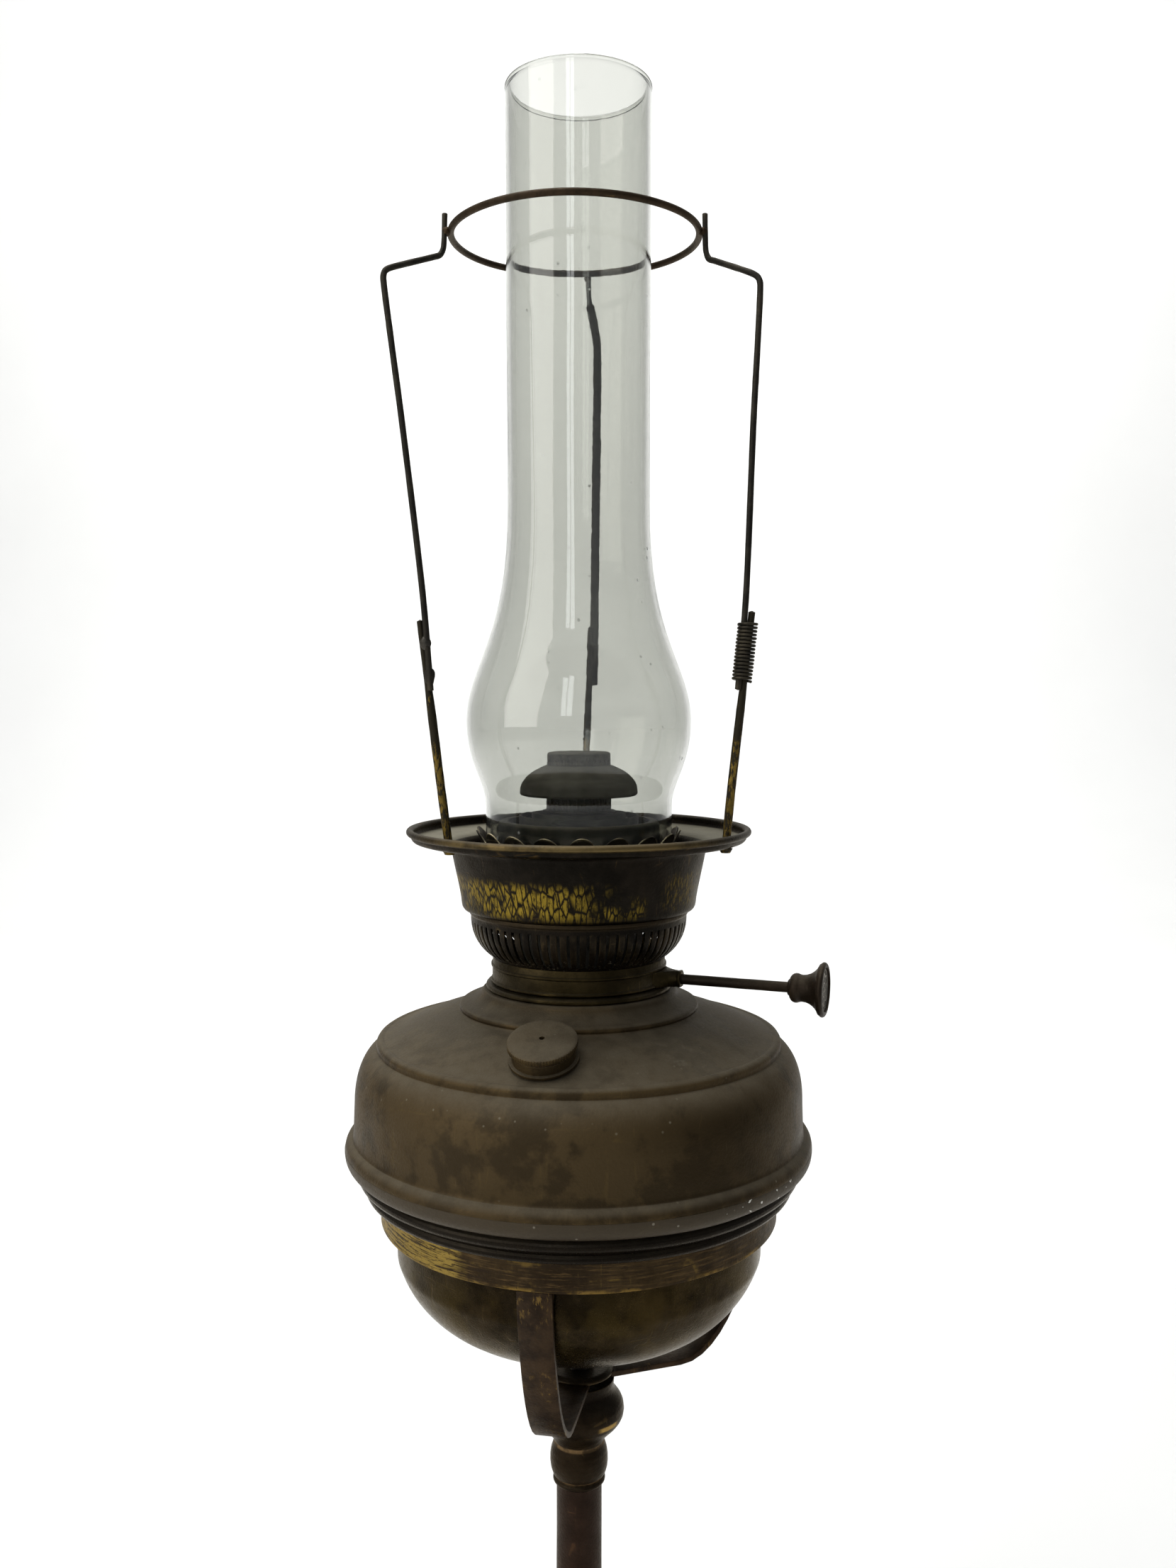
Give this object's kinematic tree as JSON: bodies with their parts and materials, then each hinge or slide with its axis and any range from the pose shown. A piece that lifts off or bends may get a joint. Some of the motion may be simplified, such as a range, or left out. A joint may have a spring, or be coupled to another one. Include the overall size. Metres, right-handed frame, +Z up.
{
  "type": "standing paraffin lamp",
  "caption": "Standing brass oil lamp: weighted foot, tube column, strap carrier ring, drop-in font, round-wick burner, glass chimney and a wire tripod with a shade ring.",
  "frame": {"origin": "centre of the foot on the floor, on the axis of the column and burner", "axes": "+Z up along the column to the chimney, -Y to the front, +X to the right when seen from the front"},
  "size_m": [0.196, 0.196, 0.7127],
  "materials": {
    "tank_brass": "dull, heavily toned and dusty",
    "worn_brass": "toned, rubbed bright in patches",
    "dark_brass": "near black with age",
    "brown_brass": "brown toned, satin",
    "burner_metal": "matt, sooted",
    "wire": "blackened wire",
    "stub_brass": "scratched",
    "gear_brass": "cut",
    "nickel": "worn nickel",
    "iron": "rough",
    "steel": "plain",
    "felt": "baize",
    "leather": "oiled",
    "cotton": "plaited",
    "glass": "clear, dusty"
  },
  "bodies": {
    "stand": {"base_pad": "felt", "base_weight": "iron", "foot_shell": "tank_brass", "tie_rod": "steel", "tie_nuts": "steel", "foot_collar": "worn_brass", "column_tube": "brown_brass", "column_ferrule": "worn_brass", "vase_knop": "dark_brass", "hub_cap": "dark_brass", "strap_front": "brown_brass", "strap_right": "brown_brass", "strap_left": "brown_brass", "strap_rivets": "worn_brass", "carrier_ring": "worn_brass"},
    "font": {"font_bowl": "dark_brass", "font_top": "tank_brass", "burner_collar": "worn_brass", "filler_neck": "tank_brass"},
    "cap_washer": {"filler_washer": "leather"},
    "cap": {"filler_cap": "tank_brass", "cap_sleeve": "worn_brass"},
    "burner": {"burner_base": "dark_brass", "air_basket": "dark_brass", "outer_wick_tube": "burner_metal", "draught_tube": "burner_metal", "spindle_boss": "dark_brass"},
    "wick_feed": {"wick": "cotton", "wick_carrier": "gear_brass", "wick_rack": "gear_brass"},
    "spindle": {"wick_spindle": "dark_brass", "wick_pinion": "gear_brass", "wick_knob": "brown_brass", "knob_rosette": "nickel"},
    "spreader": {"spreader_skirt": "burner_metal", "spreader_dome": "burner_metal", "spreader_cap": "burner_metal"},
    "gallery": {"gallery_saucer": "worn_brass", "gallery_deck": "dark_brass", "chimney_coronet": "burner_metal", "flame_guide": "burner_metal", "leg_stubs": "stub_brass", "leg_wire_left": "wire", "leg_wire_right": "wire", "leg_wire_rear": "wire", "leg_rivets": "worn_brass", "splice_binding": "wire", "shade_ring": "wire"},
    "glass_chimney": {"chimney": "glass"}
  },
  "joints": [
    {"name": "font_lift", "type": "slide", "parent": "stand", "child": "font", "axis": [0, 0, 1], "range_m": [0, 0.07]},
    {"name": "cap_lift", "type": "slide", "parent": "font", "child": "cap_washer", "axis": [-0.0684, -0.3518, 0.9336], "range_m": [0, 0.0048]},
    {"name": "cap_turn", "type": "hinge", "parent": "cap_washer", "child": "cap", "pos_m": [-0.01088, -0.05595, 0.3862], "axis": [-0.0684, -0.3518, 0.9336], "range_deg": [0, 1080]},
    {"name": "burner_lift", "type": "slide", "parent": "font", "child": "burner", "axis": [0, 0, 1], "range_m": [0, 0.12]},
    {"name": "wick_raise", "type": "slide", "parent": "burner", "child": "wick_feed", "axis": [0, 0, 1], "range_m": [-0.007, 0.0061]},
    {"name": "spindle_turn", "type": "hinge", "parent": "burner", "child": "spindle", "pos_m": [0.04698, -0.0171, 0.4029], "axis": [0.9397, -0.342, 0], "range_deg": [-100, 86]},
    {"name": "spreader_lift", "type": "slide", "parent": "burner", "child": "spreader", "axis": [0, 0, 1], "range_m": [0, 0.04]},
    {"name": "gallery_lift", "type": "slide", "parent": "burner", "child": "gallery", "axis": [0, 0, 1], "range_m": [0, 0.06]},
    {"name": "chimney_lift", "type": "slide", "parent": "gallery", "child": "glass_chimney", "axis": [0, 0, 1], "range_m": [0, 0.225]}
  ],
  "couplings": [
    {"joint": "cap_lift", "follows": "cap_turn", "m_per_rad": 0.00025465},
    {"joint": "wick_raise", "follows": "spindle_turn", "m_per_rad": 0.004}
  ]
}
